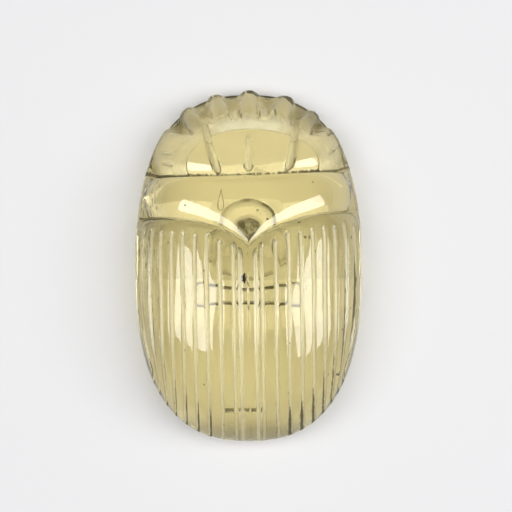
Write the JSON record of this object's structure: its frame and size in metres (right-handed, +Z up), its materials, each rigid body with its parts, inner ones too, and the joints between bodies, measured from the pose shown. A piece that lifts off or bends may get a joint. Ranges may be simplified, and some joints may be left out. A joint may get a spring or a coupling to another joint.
{
  "type": "scarab amulet",
  "caption": "Ancient scarab beetle amulet carved from one block of clear yellow-green stone, domed above and flat below, with a toothed head and grooved wing cases.",
  "frame": {"origin": "on the surface it lies on, under the middle of its bounding box", "axes": "+Y along the beetle towards its head, +X across it to its right as seen from above, +Z up out of its back"},
  "size_m": [0.0322, 0.05, 0.018],
  "materials": {
    "clear_stone": "polished clear yellow-green stone"
  },
  "bodies": {
    "root": {"scarab": "clear_stone"}
  },
  "joints": []
}
